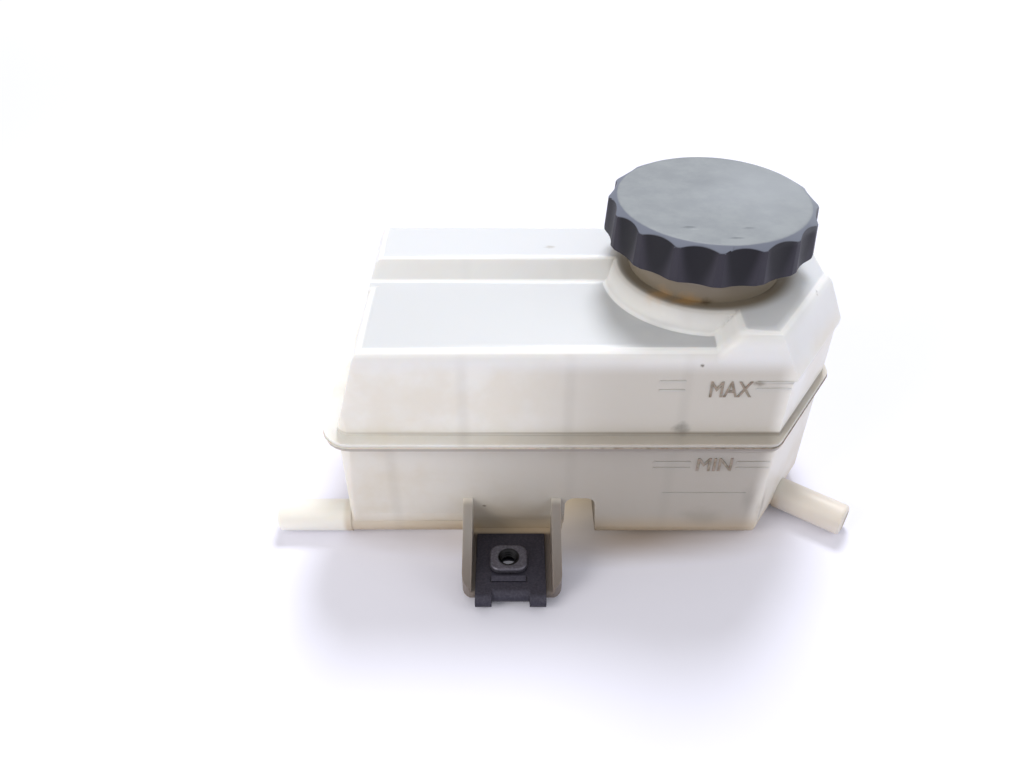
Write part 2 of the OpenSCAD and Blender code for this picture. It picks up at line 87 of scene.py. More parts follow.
# %% Camera
CAMERA_SPOT = (50, -175.1, 205.5)
CAMERA_TILT = 39
SENSOR_WIDTH = 36
LENS_PIXELS = 845
IMAGE_WIDTH = 1024
camera_data = bpy.data.cameras.new("camera")
camera_data.sensor_width = SENSOR_WIDTH
camera_data.lens = SENSOR_WIDTH * LENS_PIXELS / IMAGE_WIDTH
camera = bpy.data.objects.new("camera", camera_data)
camera.location = spot(*CAMERA_SPOT)
camera.rotation_euler = (math.radians(90 - CAMERA_TILT), 0, 0)
bpy.context.scene.collection.objects.link(camera)
bpy.context.scene.camera = camera
print("camera", [round(v, 4) for v in camera.location], "lens", round(camera_data.lens, 2))

# %% [markdown]
# Colours are written as the hex values that a picture shows and turned to linear light by one function.
# One more small function adds a node with its settings, and gives each input a value or a link, so that a
# material below reads as a recipe. The node trees are built in code because the same few patterns, such as
# a smudge or a grain, come back in every material at another size.

# %% Helpers for materials
SMOOTH = {"interpolation_type": "SMOOTHSTEP"}
TIMES = {"operation": "MULTIPLY"}
LENGTH = {"operation": "LENGTH"}


def colour(code):
    """The linear colour of an sRGB hex code."""
    parts = [int(code[i:i + 2], 16) / 255 for i in (1, 3, 5)]
    return tuple(p / 12.92 if p <= 0.04045 else ((p + 0.055) / 1.055) ** 2.4 for p in parts) + (1.0,)


def add_node(tree, kind, settings=None, inputs=None):
    """Add a node to a tree, set its properties, and give its inputs values or links from other nodes."""
    made = tree.nodes.new(kind)
    for name, value in (settings or {}).items():
        setattr(made, name, value)
    for socket, value in (inputs or {}).items():
        if isinstance(value, bpy.types.NodeSocket):
            tree.links.new(value, made.inputs[socket])
        else:
            made.inputs[socket].default_value = value
    return made


def new_material(name, surface):
    """A material whose Principled surface takes the given values."""
    material = bpy.data.materials.new(name)
    material.use_nodes = True
    principled = material.node_tree.nodes["Principled BSDF"]
    for socket, value in surface.items():
        principled.inputs[socket].default_value = value
    return material, material.node_tree, principled


print("hex e2ded4 in linear light:", [round(v, 3) for v in colour("#e2ded4")])

# %% [markdown]
# All patterns are laid out in millimetres from a datum, through a Mapping node on Object coordinates, so
# they stay on the part when it is seen or moved. Colours are laid over each other like thin coats, each by
# its own share.

# %% Helpers for places and coats
def drawing(tree, origin):
    """The place on the surface in millimetres from an origin."""
    place = add_node(tree, "ShaderNodeTexCoord").outputs["Object"]
    return add_node(tree, "ShaderNodeMapping", None, {
        "Vector": place, "Location": -origin / MM, "Scale": (1 / MM, 1 / MM, 1 / MM)}).outputs[0]


def from_axis(tree, place):
    """Distance in millimetres from the upright axis through the origin of a drawing."""
    level = add_node(tree, "ShaderNodeVectorMath", TIMES, {0: place, 1: (1, 1, 0)})
    return add_node(tree, "ShaderNodeVectorMath", LENGTH, {0: level.outputs[0]}).outputs["Value"]


def facing_up(tree):
    """How far the surface faces up: 1 on a level top, 0 on an upright wall."""
    normal = add_node(tree, "ShaderNodeTexCoord").outputs["Normal"]
    return add_node(tree, "ShaderNodeSeparateXYZ", None, {0: normal}).outputs["Z"]


def coats(tree, ground, layers):
    """Lay colours over a ground colour, one after the other, each by its own share from 0 to 1."""
    for code, share in layers:
        mix = add_node(tree, "ShaderNodeMix", {"data_type": "RGBA"}, {0: share, 6: ground, 7: colour(code)})
        ground = mix.outputs[2]
    return ground


print("patterns are laid out from", [round(v / MM, 2) for v in TANK], "mm")

# %% [markdown]
# Dirt and stains are never one even shade. Each is a ragged mark with a place and a spread, broken up by
# noise, and the plastic itself is a little cloudy. A moulded surface also has a fine grain, which comes from
# its tool and breaks up the gloss.

# %% Helpers for marks and grain
PATCH = 40
CLOUDS_PER_SPREAD = 1.6


def mottle(tree, place, size_mm, low, high, strength=1.0):
    """Share of a cloudy pattern whose clouds are about size_mm across."""
    cloud = add_node(tree, "ShaderNodeTexNoise", None, {
        "Vector": place, "Scale": 1 / size_mm, "Detail": 4.0, "Roughness": 0.6})
    return add_node(tree, "ShaderNodeMapRange", SMOOTH, {
        "Value": cloud.outputs["Fac"], "From Min": low, "From Max": high, "To Max": strength}).outputs[0]


def smudge(tree, place, middle, spread, strength, ragged=1.0):
    """Share of a ragged mark round a place, which fades out at its spread. Both are in millimetres."""
    near = add_node(tree, "ShaderNodeMapping", None, {
        "Vector": place, "Location": [-m / s for m, s in zip(middle, spread)],
        "Scale": [1 / s for s in spread]}).outputs[0]
    away = add_node(tree, "ShaderNodeVectorMath", LENGTH, {0: near})
    noise = add_node(tree, "ShaderNodeTexNoise", None, {
        "Vector": near, "Scale": CLOUDS_PER_SPREAD, "Detail": 4.0})
    edge = add_node(tree, "ShaderNodeMath", {"operation": "MULTIPLY_ADD"}, {
        0: noise.outputs["Fac"], 1: ragged, 2: away.outputs["Value"]})
    return add_node(tree, "ShaderNodeMapRange", SMOOTH, {
        "Value": edge.outputs[0], "From Min": ragged / 2 + 0.1, "From Max": ragged / 2 + 1,
        "To Min": strength, "To Max": 0.0}).outputs[0]


def specks(tree, place, spacing_mm, radius_mm):
    """Share of small round specks, far apart and in patches."""
    cells = add_node(tree, "ShaderNodeTexVoronoi", None, {"Vector": place, "Scale": 1 / spacing_mm})
    dot = add_node(tree, "ShaderNodeMapRange", SMOOTH, {
        "Value": cells.outputs["Distance"], "From Min": radius_mm / spacing_mm / 2,
        "From Max": radius_mm / spacing_mm, "To Min": 1.0, "To Max": 0.0})
    patch = mottle(tree, place, PATCH, 0.5, 0.62)
    return add_node(tree, "ShaderNodeMath", TIMES, {0: dot.outputs[0], 1: patch}).outputs[0]


def grain(tree, principled, place, size_mm, depth_mm):
    """Fine moulded grain as bump."""
    height = add_node(tree, "ShaderNodeTexNoise", None, {
        "Vector": place, "Scale": 1 / size_mm, "Detail": 2.0}).outputs["Fac"]
    bump = add_node(tree, "ShaderNodeBump", None, {"Distance": depth_mm * MM, "Height": height})
    tree.links.new(bump.outputs[0], principled.inputs["Normal"])


print("specks come in patches of", PATCH, "mm")

# %% [markdown]
# The shells are natural polypropylene, injection moulded and aged by brake fluid. Light enters the wall,
# scatters for a few millimetres and comes out again, which softens every shadow, so the surface gets
# subsurface scattering with a radius close to the wall's thickness. The walls are painted darker under the
# filler, as painted shade of the hollow where the cap keeps the light out, and the baffles behind them are
# painted shade in faint upright bands.
# The melt's flow leaves a cloudy pattern some 20 mm across, and the matt tool a fine grain.

# %% Natural polypropylene
POLYPROPYLENE_IOR = 1.49
WALL = 2.2
FLOW = 22
DECK = 73
CHAMFER = 124.8
# The baffles show through the walls as painted shade in faint upright bands.
BAFFLE_SHADE_COLOUR = "#8f8b84"
BAFFLE_SHADE_SPREAD = (2.6, 300, 300)
BAFFLE_SHADE_STRENGTH = 0.11


def polypropylene(name, fresh, aged, inside, shade_from, shade_to, baffles):
    """Milky plastic with flow marks, painted shade of the baffles behind it, and painted shade of the hollow
    between two places.
    """
    material, tree, principled = new_material(name, {
        "Roughness": 0.4, "IOR": POLYPROPYLENE_IOR, "Subsurface Weight": 0.55,
        "Subsurface Scale": WALL * MM, "Subsurface Radius": (1.0, 0.85, 0.7)})
    place = drawing(tree, TANK)
    parts = add_node(tree, "ShaderNodeSeparateXYZ", None, {0: place}).outputs
    # The walls below the deck are painted darker along the tank, as painted shade of the hollow under the
    # filler.
    hollow_shade = add_node(tree, "ShaderNodeMapRange", SMOOTH, {
        "Value": parts["X"], "From Min": shade_from, "From Max": shade_to})
    end_light = add_node(tree, "ShaderNodeMapRange", SMOOTH, {
        "Value": parts["X"], "From Min": CHAMFER - 4, "From Max": CHAMFER + 1, "To Min": 1.0, "To Max": 0.0})
    below_deck = add_node(tree, "ShaderNodeMapRange", SMOOTH, {
        "Value": parts["Z"], "From Min": DECK - 6, "From Max": DECK - 0.5, "To Min": 1.0, "To Max": 0.0})
    walls = add_node(tree, "ShaderNodeMath", TIMES, {0: end_light.outputs[0], 1: below_deck.outputs[0]})
    hollow_shade_share = add_node(tree, "ShaderNodeMath", TIMES, {0: hollow_shade.outputs[0], 1: walls.outputs[0]})
    layers = [(aged, mottle(tree, place, FLOW, 0.38, 0.66)), (inside, hollow_shade_share.outputs[0])]
    # Each baffle is painted shade in a faint upright band.
    for at in baffles:
        baffle_shade = smudge(tree, place, (at, 10, SEAM), BAFFLE_SHADE_SPREAD, BAFFLE_SHADE_STRENGTH, 0.3)
        layers.append((BAFFLE_SHADE_COLOUR, baffle_shade))
    return material, tree, principled, place, parts, coats(tree, colour(fresh), layers)


print("wall", WALL, "mm, flow marks", FLOW, "mm across")

# %% [markdown]
# The upper shell is the paler of the two. A colour ramp over the height gives its top a cooler white, because
# the slopes up there are lit from behind by the window. Each stop is a height, a colour and a share.

# %% Polypropylene of the upper shell
UPPER_BAFFLES = (36.5, 65.7, 97.0)
RAMP_FOOT = 66
RAMP_TOP = 80
WHITES = ((70.5, "#e6e7ea", 0.6), (73.2, "#e8e9ec", 0.6), (74.4, "#eaebed", 0.7), (78.0, "#eaebed", 0.7))
# c9c4bc is the painted shade of the hollow, from 38 to 82 mm along the tank.
upper_plastic, tree, principled, place, parts, ground = polypropylene(
    "natural_polypropylene_upper", "#eceae6", "#e6e1d8", "#c9c4bc", 38, 82, UPPER_BAFFLES)
height = add_node(tree, "ShaderNodeMapRange", None, {
    "Value": parts["Z"], "From Min": RAMP_FOOT, "From Max": RAMP_TOP})
whites = add_node(tree, "ShaderNodeValToRGB", None, {0: height.outputs[0]})
whites.color_ramp.elements[0].color = colour(WHITES[0][1])[:3] + (0,)
whites.color_ramp.elements[1].color = colour(WHITES[-1][1])[:3] + (WHITES[-1][2],)
for z, code, share in WHITES:
    stop = whites.color_ramp.elements.new((z - RAMP_FOOT) / (RAMP_TOP - RAMP_FOOT))
    stop.color = colour(code)[:3] + (share,)
ground = add_node(tree, "ShaderNodeMix", {"data_type": "RGBA"}, {
    0: whites.outputs["Alpha"], 6: ground, 7: whites.outputs["Color"]}).outputs[2]
print(upper_plastic.name, "turns whiter from", RAMP_FOOT, "mm up")

# %% [markdown]
# Level faces let light through to the hollow, so they look greyer than the slopes, and the deck more so than
# the ridge, which is higher. The rounded edges between them catch the window and are white. How far the
# surface faces up tells the three apart, and the height keeps them off the flange.

# %% Level faces and rounded edges of the upper shell
up = facing_up(tree)
level_face = add_node(tree, "ShaderNodeMapRange", SMOOTH, {
    "Value": up, "From Min": 0.92, "From Max": 0.99, "To Max": 0.95})
rounded = add_node(tree, "ShaderNodeMapRange", SMOOTH, {"Value": up, "From Min": 0.66, "From Max": 0.85})
high = add_node(tree, "ShaderNodeMapRange", None, {
    "Value": parts["Z"], "From Min": DECK - 2, "From Max": DECK - 1})
higher = add_node(tree, "ShaderNodeMapRange", None, {
    "Value": parts["Z"], "From Min": DECK + 2, "From Max": DECK + 4})
on_edge = add_node(tree, "ShaderNodeMath", TIMES, {0: rounded.outputs[0], 1: high.outputs[0]})
on_deck = add_node(tree, "ShaderNodeMath", TIMES, {0: level_face.outputs[0], 1: high.outputs[0]})
on_ridge = add_node(tree, "ShaderNodeMath", TIMES, {0: level_face.outputs[0], 1: higher.outputs[0]})
ground = coats(tree, ground, [
    ("#ffffff", on_edge.outputs[0]), ("#d2d4d7", on_deck.outputs[0]), ("#dfe1e5", on_ridge.outputs[0])])
print("level faces are greyer from", DECK - 2, "mm up")

# %% [markdown]
# The neck and its seat are painted darker under the cap's overhang, as a painted shadow of the cap. The
# painted shadow fades out along the deck, and on the neck itself it is strongest at the foot and weak higher
# up, under the cap.

# %% Painted shadow on the seat of the neck
NECK_RADIUS = 21.5
from_neck = add_node(tree, "ShaderNodeVectorMath", {"operation": "SUBTRACT"}, {
    0: place, 1: (NECK - TANK) / MM})
near_neck = add_node(tree, "ShaderNodeMapRange", SMOOTH, {
    "Value": from_axis(tree, from_neck.outputs[0]), "From Min": NECK_RADIUS + 1.5,
    "From Max": NECK_RADIUS + 6, "To Min": 0.95, "To Max": 0.0})
over_deck = add_node(tree, "ShaderNodeMapRange", SMOOTH, {
    "Value": parts["Z"], "From Min": DECK - 1.5, "From Max": DECK + 2.5})
up_neck = add_node(tree, "ShaderNodeMapRange", SMOOTH, {
    "Value": parts["Z"], "From Min": RIM - 12, "From Max": RIM - 7, "To Min": 1.0, "To Max": 0.2})
seat = add_node(tree, "ShaderNodeMath", TIMES, {0: near_neck.outputs[0], 1: over_deck.outputs[0]})
cap_shadow_on_seat = add_node(tree, "ShaderNodeMath", TIMES, {0: seat.outputs[0], 1: up_neck.outputs[0]})
# 7d715f is the painted shadow of the cap on the neck and its seat.
ground = coats(tree, ground, [("#7d715f", cap_shadow_on_seat.outputs[0])])
print("the stain reaches", NECK_RADIUS + 6, "mm from the neck's axis")

# %% [markdown]
# The marks come last, each in its own place, as on one real part: amber fluid on the seat, dark dots where
# dirt stuck in it, darker bands along the flange and the foot of the wall, a dark line under the full mark's
# ledge that is dirt and painted shade, small specks on the top, and a painted shadow of the cap on the deck
# in front of the neck. A mark is a colour, its middle and its spread in millimetres, and its strength.

# %% Marks of the upper shell
UPPER_MARKS = (
    ("#b98f52", (98, 16.8, 78), (7, 3, 4), 0.6),
    ("#d9a765", (91, 20, 78), (6, 4, 4), 0.35),
    ("#5b4a32", (102.5, 16, 78.5), (2.2, 1.6, 2.5), 0.8),
    ("#7b6a52", (88, 21.3, 78), (1.2, 0.9, 2), 0.6),
    ("#7b6a52", (96.5, 15.4, 77.5), (1.6, 0.8, 2), 0.6),
    ("#84796a", (116.2, 0.8, 63.2), (2.6, 3, 1.3), 0.8),
    ("#5f574b", (100.2, 0.8, 69), (0.8, 2, 0.8), 0.9),
    ("#7c7872", (97.5, 0.7, 47.4), (3.6, 2.2, 3.2), 0.75),
    ("#7d7466", (134.6, 22.5, 78.5), (0.8, 1.4, 1.5), 0.8),
    ("#a8a094", (61.3, 45.9, 79), (2.2, 1.2, 2), 0.5),
    # The three bands at the seam darken the flange and the foot of the wall.
    ("#9a9186", (105, 0, SEAM + 1.1), (105, 100, 1.1), 0.42),
    ("#877e73", (120, 5, SEAM + 2.1), (110, 80, 0.9), 0.8),
    ("#8f867a", (20, 0, SEAM + 2.1), (60, 90, 0.8), 0.3),
    # This dark line under the full mark's ledge is dirt and painted shade under the ledge.
    ("#7b7267", (134, 10, 63.3), (17, 30, 0.9), 0.75),
    # This bluish grey mark is the painted shadow of the cap on the deck.
    ("#a9adb6", (91, 14, 73), (11, 7, 3), 0.25))
ground = coats(tree, ground, [
    *[(code, smudge(tree, place, *mark)) for code, *mark in UPPER_MARKS],
    ("#6b6254", specks(tree, place, 26, 0.55))])
tree.links.new(ground, principled.inputs["Base Color"])
grain(tree, principled, place, 0.5, 0.02)
print(upper_plastic.name, "carries", len(UPPER_MARKS), "marks of its own")

# %% [markdown]
# The lower shell holds the fluid that is oldest, so it is a shade yellower and darker. It is yellower and
# darker still towards its bottom, and darker on the bracket, most of all low down. Like the upper shell it
# carries the painted shade of the hollow.

# %% Polypropylene of the lower shell
LOWER_BAFFLES = (15.0, 67.1, 96.0)
# b2aca4 is the painted shade of the hollow, from 5 to 85 mm along the tank.
lower_plastic, tree, principled, place, parts, ground = polypropylene(
    "natural_polypropylene_lower", "#e3dfd8", "#dcd5c9", "#b2aca4", 5, 85, LOWER_BAFFLES)
# The shell is yellower and darker towards its bottom.
low = add_node(tree, "ShaderNodeMapRange", SMOOTH, {
    "Value": parts["Z"], "From Min": 2.0, "From Max": 13.0, "To Min": 0.55, "To Max": 0.0})
on_bracket = add_node(tree, "ShaderNodeMapRange", SMOOTH, {
    "Value": parts["Y"], "From Min": 0.5, "From Max": -1.5})
sunk = add_node(tree, "ShaderNodeMapRange", None, {
    "Value": parts["Z"], "From Min": 6, "From Max": 19, "To Min": 0.9, "To Max": 0.55})
# The bracket is darker, most of all low down.
darker_on_bracket = add_node(tree, "ShaderNodeMath", TIMES, {0: on_bracket.outputs[0], 1: sunk.outputs[0]})
print(lower_plastic.name, "is dirtiest in the bracket")

# %% [markdown]
# The two spigots hang outside with light all round, and look nearly white. The left one is all that lies
# beyond the left wall, and the right one is all that lies beyond the chamfered wall, which is turned by
# 35 degrees. Their coats go over the marks, because a hose keeps a spigot clean.

# %% Spigots and marks of the lower shell
CHAMFER_TURN = math.radians(35)
chamfer_out = Vector((math.cos(CHAMFER_TURN), -math.sin(CHAMFER_TURN), 0))
chamfer_face = CHAMFER * chamfer_out.x
beyond = add_node(tree, "ShaderNodeVectorMath", {"operation": "DOT_PRODUCT"}, {0: place, 1: chamfer_out})
right_tube = add_node(tree, "ShaderNodeMapRange", SMOOTH, {
    "Value": beyond.outputs["Value"], "From Min": chamfer_face + 0.5, "From Max": chamfer_face + 3})
left_tube = add_node(tree, "ShaderNodeMapRange", SMOOTH, {
    "Value": parts["X"], "From Min": -1.0, "From Max": -3.0})
LOWER_MARKS = (
    ("#977f5c", (50, 0, 10), (19, 8, 11), 0.32),
    ("#5c5140", (41.6, 0.5, 15.5), (0.9, 2, 0.7), 0.8),
    ("#8c857b", (107.8, 0.5, 10), (9, 4, 6), 0.35),
    ("#87807a", (121, 0.5, 18), (3, 4, 9), 0.3),
    ("#857c70", (112, 0, SEAM - 4.7), (70, 90, 1.1), 0.55),
    ("#7d766e", (110, 0.5, 34), (10, 3, 3.4), 0.3),
    ("#8f8679", (126, 2, 14), (2.2, 3, 9), 0.5))
ground = coats(tree, ground, [
    ("#b99c6f", low.outputs[0]),
    *[(code, smudge(tree, place, *mark)) for code, *mark in LOWER_MARKS],
    ("#6f6557", specks(tree, place, 24, 0.6)),
    ("#665d5b", darker_on_bracket.outputs[0]),
    ("#f3efe8", left_tube.outputs[0]),
    ("#ddd6cd", right_tube.outputs[0])])
tree.links.new(ground, principled.inputs["Base Color"])
grain(tree, principled, place, 0.5, 0.02)
print(lower_plastic.name, "carries", len(LOWER_MARKS), "marks of its own")

# %% [markdown]
# The words of the level marks and the weld flash are the same plastic, but they stand proud and hold grime
# from fingers and rags. Their material is a dirtier polypropylene, darker towards the right half, broken up
# at under 2 mm, so letters look smudged.

# %% Grimed polypropylene
SMEAR = 1.6
grimed_plastic, tree, principled = new_material("polypropylene_grimed", {
    "Roughness": 0.5, "IOR": POLYPROPYLENE_IOR, "Subsurface Weight": 0.3, "Subsurface Scale": MM})
place = drawing(tree, TANK)
parts = add_node(tree, "ShaderNodeSeparateXYZ", None, {0: place}).outputs
# The dirty polypropylene is darker towards the right half.
towards_right = add_node(tree, "ShaderNodeMapRange", SMOOTH, {"Value": parts["X"], "From Min": 20, "From Max": 105})
smeared = add_node(tree, "ShaderNodeMath", TIMES, {
    0: mottle(tree, place, SMEAR, 0.4, 0.7, 0.85), 1: towards_right.outputs[0]})
ground = coats(tree, colour("#d6cec2"), [("#9a8e80", towards_right.outputs[0]), ("#6f6454", smeared.outputs[0])])
tree.links.new(ground, principled.inputs["Base Color"])
grain(tree, principled, place, 0.4, 0.02)
print(grimed_plastic.name, "is smeared at", SMEAR, "mm")

# %% [markdown]
# The cap is black ABS. Its top is painted grey, as a painted reflection of the bright room with dust over it,
# and the slope round it has less of that painted reflection, while the finger scallops stay dark, so the
# colour follows how far the surface faces up. Hands polish the ridges between the scallops a little paler.
# The grain is coarser than on the tank and hides fingerprints.

# %% Black ABS of the cap
CAP_RADIUS = (cap_high.x - cap_low.x) / MM / 2
CAP_MARKS = (
    ("#4b5058", (-9.5, -17.1, CROWN), (2.6, 0.9, 2), 0.6),
    ("#4b5058", (5.9, -17.6, CROWN), (2.2, 0.8, 2), 0.5),
    ("#4b5058", (1.7, -22.8, CROWN), (2.8, 0.7, 2), 0.6),
    ("#a3a7aa", (-8.2, -18.2, CROWN), (2, 0.5, 2), 0.5),
    ("#6f747b", (3, 10, CROWN), (14, 6, 3), 0.35),
    ("#a3a8ae", (16, 4, CROWN), (30, 28, 6), 0.5))
abs_plastic, tree, principled = new_material("aged_black_abs", {
    "Roughness": 0.5, "IOR": 1.52, "Specular IOR Level": 0.25})
place = drawing(tree, NECK)
up = facing_up(tree)
polished = add_node(tree, "ShaderNodeMapRange", SMOOTH, {
    "Value": from_axis(tree, place), "From Min": CAP_RADIUS - 1.3, "From Max": CAP_RADIUS - 0.3})
slope = add_node(tree, "ShaderNodeMapRange", SMOOTH, {"Value": up, "From Min": 0.25, "From Max": 0.75})
on_top = add_node(tree, "ShaderNodeMapRange", SMOOTH, {"Value": up, "From Min": 0.9, "From Max": 0.99})
dusted = add_node(tree, "ShaderNodeMath", TIMES, {
    0: mottle(tree, place, 7, 0.35, 0.7), 1: on_top.outputs[0]})
# 6d7280 on the slope and #858a8f on the top are a painted reflection of the room; #8f9498 is dust.
ground = coats(tree, colour("#15141c"), [
    ("#34323c", polished.outputs[0]),
    ("#6d7280", slope.outputs[0]),
    ("#858a8f", on_top.outputs[0]),
    ("#8f9498", dusted.outputs[0]),
    *[(code, smudge(tree, place, *mark)) for code, *mark in CAP_MARKS]])
tree.links.new(ground, principled.inputs["Base Color"])
grain(tree, principled, place, 0.35, 0.03)
print(abs_plastic.name, "over a cap of radius", round(CAP_RADIUS, 2), "mm")

# %% [markdown]
# The clip is spring steel, phosphated and oiled: a dark, slightly violet grey that shines softly. The nut
# has the same finish on softer steel, worn paler on its top. Both are metals under a thin crystalline film,
# so they are mostly metallic, dark, and mottled in roughness. The crystals are far too fine to show, and are
# drawn 0.7 mm across. The screw's hole is painted nearly black, as oil and dirt in it and as painted shade
# deep in the hole.

# %% Phosphated steel
CRYSTAL = 0.7
HOLE = 3.0


def phosphated(name, dark, pale, rough):
    """Steel under a dark film of fine crystals, paler and smoother where they are rubbed."""
    material, tree, principled = new_material(name, {"Metallic": 0.6})
    place = drawing(tree, NUT)
    film = mottle(tree, place, CRYSTAL, 0.35, 0.75)
    # The screw's hole is painted near black: oil and dirt, and painted shade deep in the hole.
    hole_oil_and_shade = add_node(tree, "ShaderNodeMapRange", SMOOTH, {
        "Value": from_axis(tree, place), "From Min": HOLE + 0.4, "From Max": HOLE})
    ground = coats(tree, colour(dark), [(pale, film), ("#0e0d11", hole_oil_and_shade.outputs[0])])
    tree.links.new(ground, principled.inputs["Base Color"])
    worn = add_node(tree, "ShaderNodeMapRange", None, {
        "Value": film, "To Min": rough + 0.1, "To Max": rough - 0.08})
    tree.links.new(worn.outputs[0], principled.inputs["Roughness"])
    grain(tree, principled, place, 0.4, 0.02)
    return material


clip_steel = phosphated("phosphated_spring_steel", "#363440", "#45434e", 0.45)
nut_steel = phosphated("phosphated_nut_steel", "#53515b", "#6a6872", 0.4)
print(clip_steel.name, "and", nut_steel.name, "with crystals drawn", CRYSTAL, "mm across")

# %% [markdown]
# The diaphragm under the cap is EPDM rubber, dull and near black. The strainer is a clean polypropylene
# moulding. Neither shows while the cap is on, but both are there when it comes off.

# %% Rubber and strainer plastic
rubber, tree, principled = new_material("epdm_rubber", {"Roughness": 0.75, "IOR": 1.5})
place = drawing(tree, TANK)
ground = coats(tree, colour("#1b1b1d"), [("#2b2b2e", mottle(tree, place, 3, 0.35, 0.7))])
tree.links.new(ground, principled.inputs["Base Color"])
grain(tree, principled, place, 0.4, 0.02)
strainer_plastic, tree, principled = new_material("strainer_polypropylene", {
    "Roughness": 0.4, "IOR": POLYPROPYLENE_IOR, "Subsurface Weight": 0.4, "Subsurface Scale": MM})
place = drawing(tree, TANK)
ground = coats(tree, colour("#d8d0bd"), [("#c9bfa8", mottle(tree, place, 8, 0.35, 0.7))])
tree.links.new(ground, principled.inputs["Base Color"])
grain(tree, principled, place, 0.5, 0.01)
print(rubber.name, "and", strainer_plastic.name)

# %% [markdown]
# Helpers for modelling come next. Operators act on everything selected, so each piece starts with nothing
# selected but itself. When a piece is finished, its place goes into its mesh, and it rides on a body.

# %% Helpers for pieces
def alone(piece):
    """Leave one object selected and active, in object mode."""
    if bpy.context.object and bpy.context.object.mode != "OBJECT":
        bpy.ops.object.mode_set(mode="OBJECT")
    bpy.ops.object.select_all(action="DESELECT")
    piece.select_set(True)
    bpy.context.view_layer.objects.active = piece


def settle(piece, body, material):
    """Place a finished piece: its place goes into its mesh, and it rides on a body."""
    alone(piece)
    bpy.ops.object.transform_apply(location=True, rotation=True, scale=True)
    piece.data.materials.clear()
    piece.data.materials.append(material)
    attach(piece, body)


def add_modifier(piece, kind, **settings):
    """Add a modifier, set it and apply it."""
    alone(piece)
    made = piece.modifiers.new(kind.lower(), kind)
    for name, value in settings.items():
        setattr(made, name, value)
    bpy.ops.object.modifier_apply(modifier=made.name)


print("modifiers are applied as they are added")

# %% [markdown]
# A solid's mesh is loose triangles. A dressed copy is merged, its flat faces are joined again, and its facets
# are shaded as one face wherever they stand for a curve. The cap, the clip and the nut also get a small
# bevel, because no real edge is a knife edge and the bevel catches the light. At a very acute corner a bevel
# throws a vertex far out, and such a vertex is set back onto the solid. The shells need no bevel, since
# their fillets are in the solids.

# %% Helpers for dressed copies
MERGE = 0.002
FLAT_ANGLE = math.radians(0.5)
FILLET_ANGLE = math.radians(20)
SMOOTH_ANGLE = math.radians(50)
STRAY = 0.12


def merged_copy(node, name):
    """A copy of a solid whose loose triangles are merged and whose flat faces are joined again."""
    piece = bpy.data.objects.new(name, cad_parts[node].data.copy())
    bpy.context.scene.collection.objects.link(piece)
    alone(piece)
    bpy.ops.object.mode_set(mode="EDIT")
    bpy.ops.mesh.select_all(action="SELECT")
    bpy.ops.mesh.remove_doubles(threshold=MERGE * MM)
    bpy.ops.mesh.dissolve_limited(angle_limit=FLAT_ANGLE)
    bpy.ops.object.mode_set(mode="OBJECT")
    return piece


def set_back(piece, solid):
    """Set the vertices that a bevel threw out of an acute corner back onto the solid."""
    for vertex in piece.data.vertices:
        place = solid.closest_point_on_mesh(vertex.co)[1]
        if (place - vertex.co).length > STRAY * MM:
            vertex.co = place


def dressed_copy(node, body, material, bevel_mm=0, sharp_degrees=40, segments=2):
    """A merged and smoothly shaded copy, bevelled if asked, which stands for the solid in its place."""
    piece = merged_copy(node, node + "_dressed")
    if bevel_mm:
        add_modifier(piece, "BEVEL", width=bevel_mm * MM, segments=segments, limit_method="ANGLE",
            angle_limit=math.radians(sharp_degrees), use_clamp_overlap=False)
        set_back(piece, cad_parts[node])
    bpy.ops.object.shade_smooth_by_angle(angle=SMOOTH_ANGLE if bevel_mm else FILLET_ANGLE)
    add_modifier(piece, "WEIGHTED_NORMAL", keep_sharp=True)
    settle(piece, body, material)
    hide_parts(node)
    print(node, "copy has", len(piece.data.polygons), "faces")


for kind, angle in (("unbevelled", FILLET_ANGLE), ("bevelled", SMOOTH_ANGLE)):
    print(kind, "faces that meet at less than", round(math.degrees(angle)), "degrees are shaded as one")

# %% [markdown]
# The shells, the cap, the clip and the nut are dressed copies of their solids. The bevel is 0.3 mm on the
# cap, 0.1 mm on the clip's thin sheet and 0.6 mm on the nut, whose edges are well rounded.

# %% Dressed copies of the solids
dressed_copy("upper_shell", "tank", upper_plastic)
dressed_copy("lower_shell", "tank", lower_plastic)
dressed_copy("cap", "cap", abs_plastic, bevel_mm=0.3, sharp_degrees=30, segments=3)
dressed_copy("clip_spring", "tank", clip_steel, bevel_mm=0.1)
dressed_copy("clip_nut", "tank", nut_steel, bevel_mm=0.6, segments=3)
print("five solids have dressed copies")

# %% [markdown]
# The strainer and the diaphragm keep their solids, which are true already, and only take their material.

# %% Finish of the other solids
for node, material in (("filler_strainer", strainer_plastic), ("cap_diaphragm", rubber)):
    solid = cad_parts[node]
    solid.data.materials.clear()
    solid.data.materials.append(material)
    print(node, "takes", material.name)

# %% [markdown]
# A screw thread is one profile carried round and up a helix. The profile is a small four-sided ring, and the
# Screw modifier carries it. The neck's thread and the cap's thread have the same pitch and interleave, half
# a pitch apart, so the cap can turn and rise without one cutting the other.

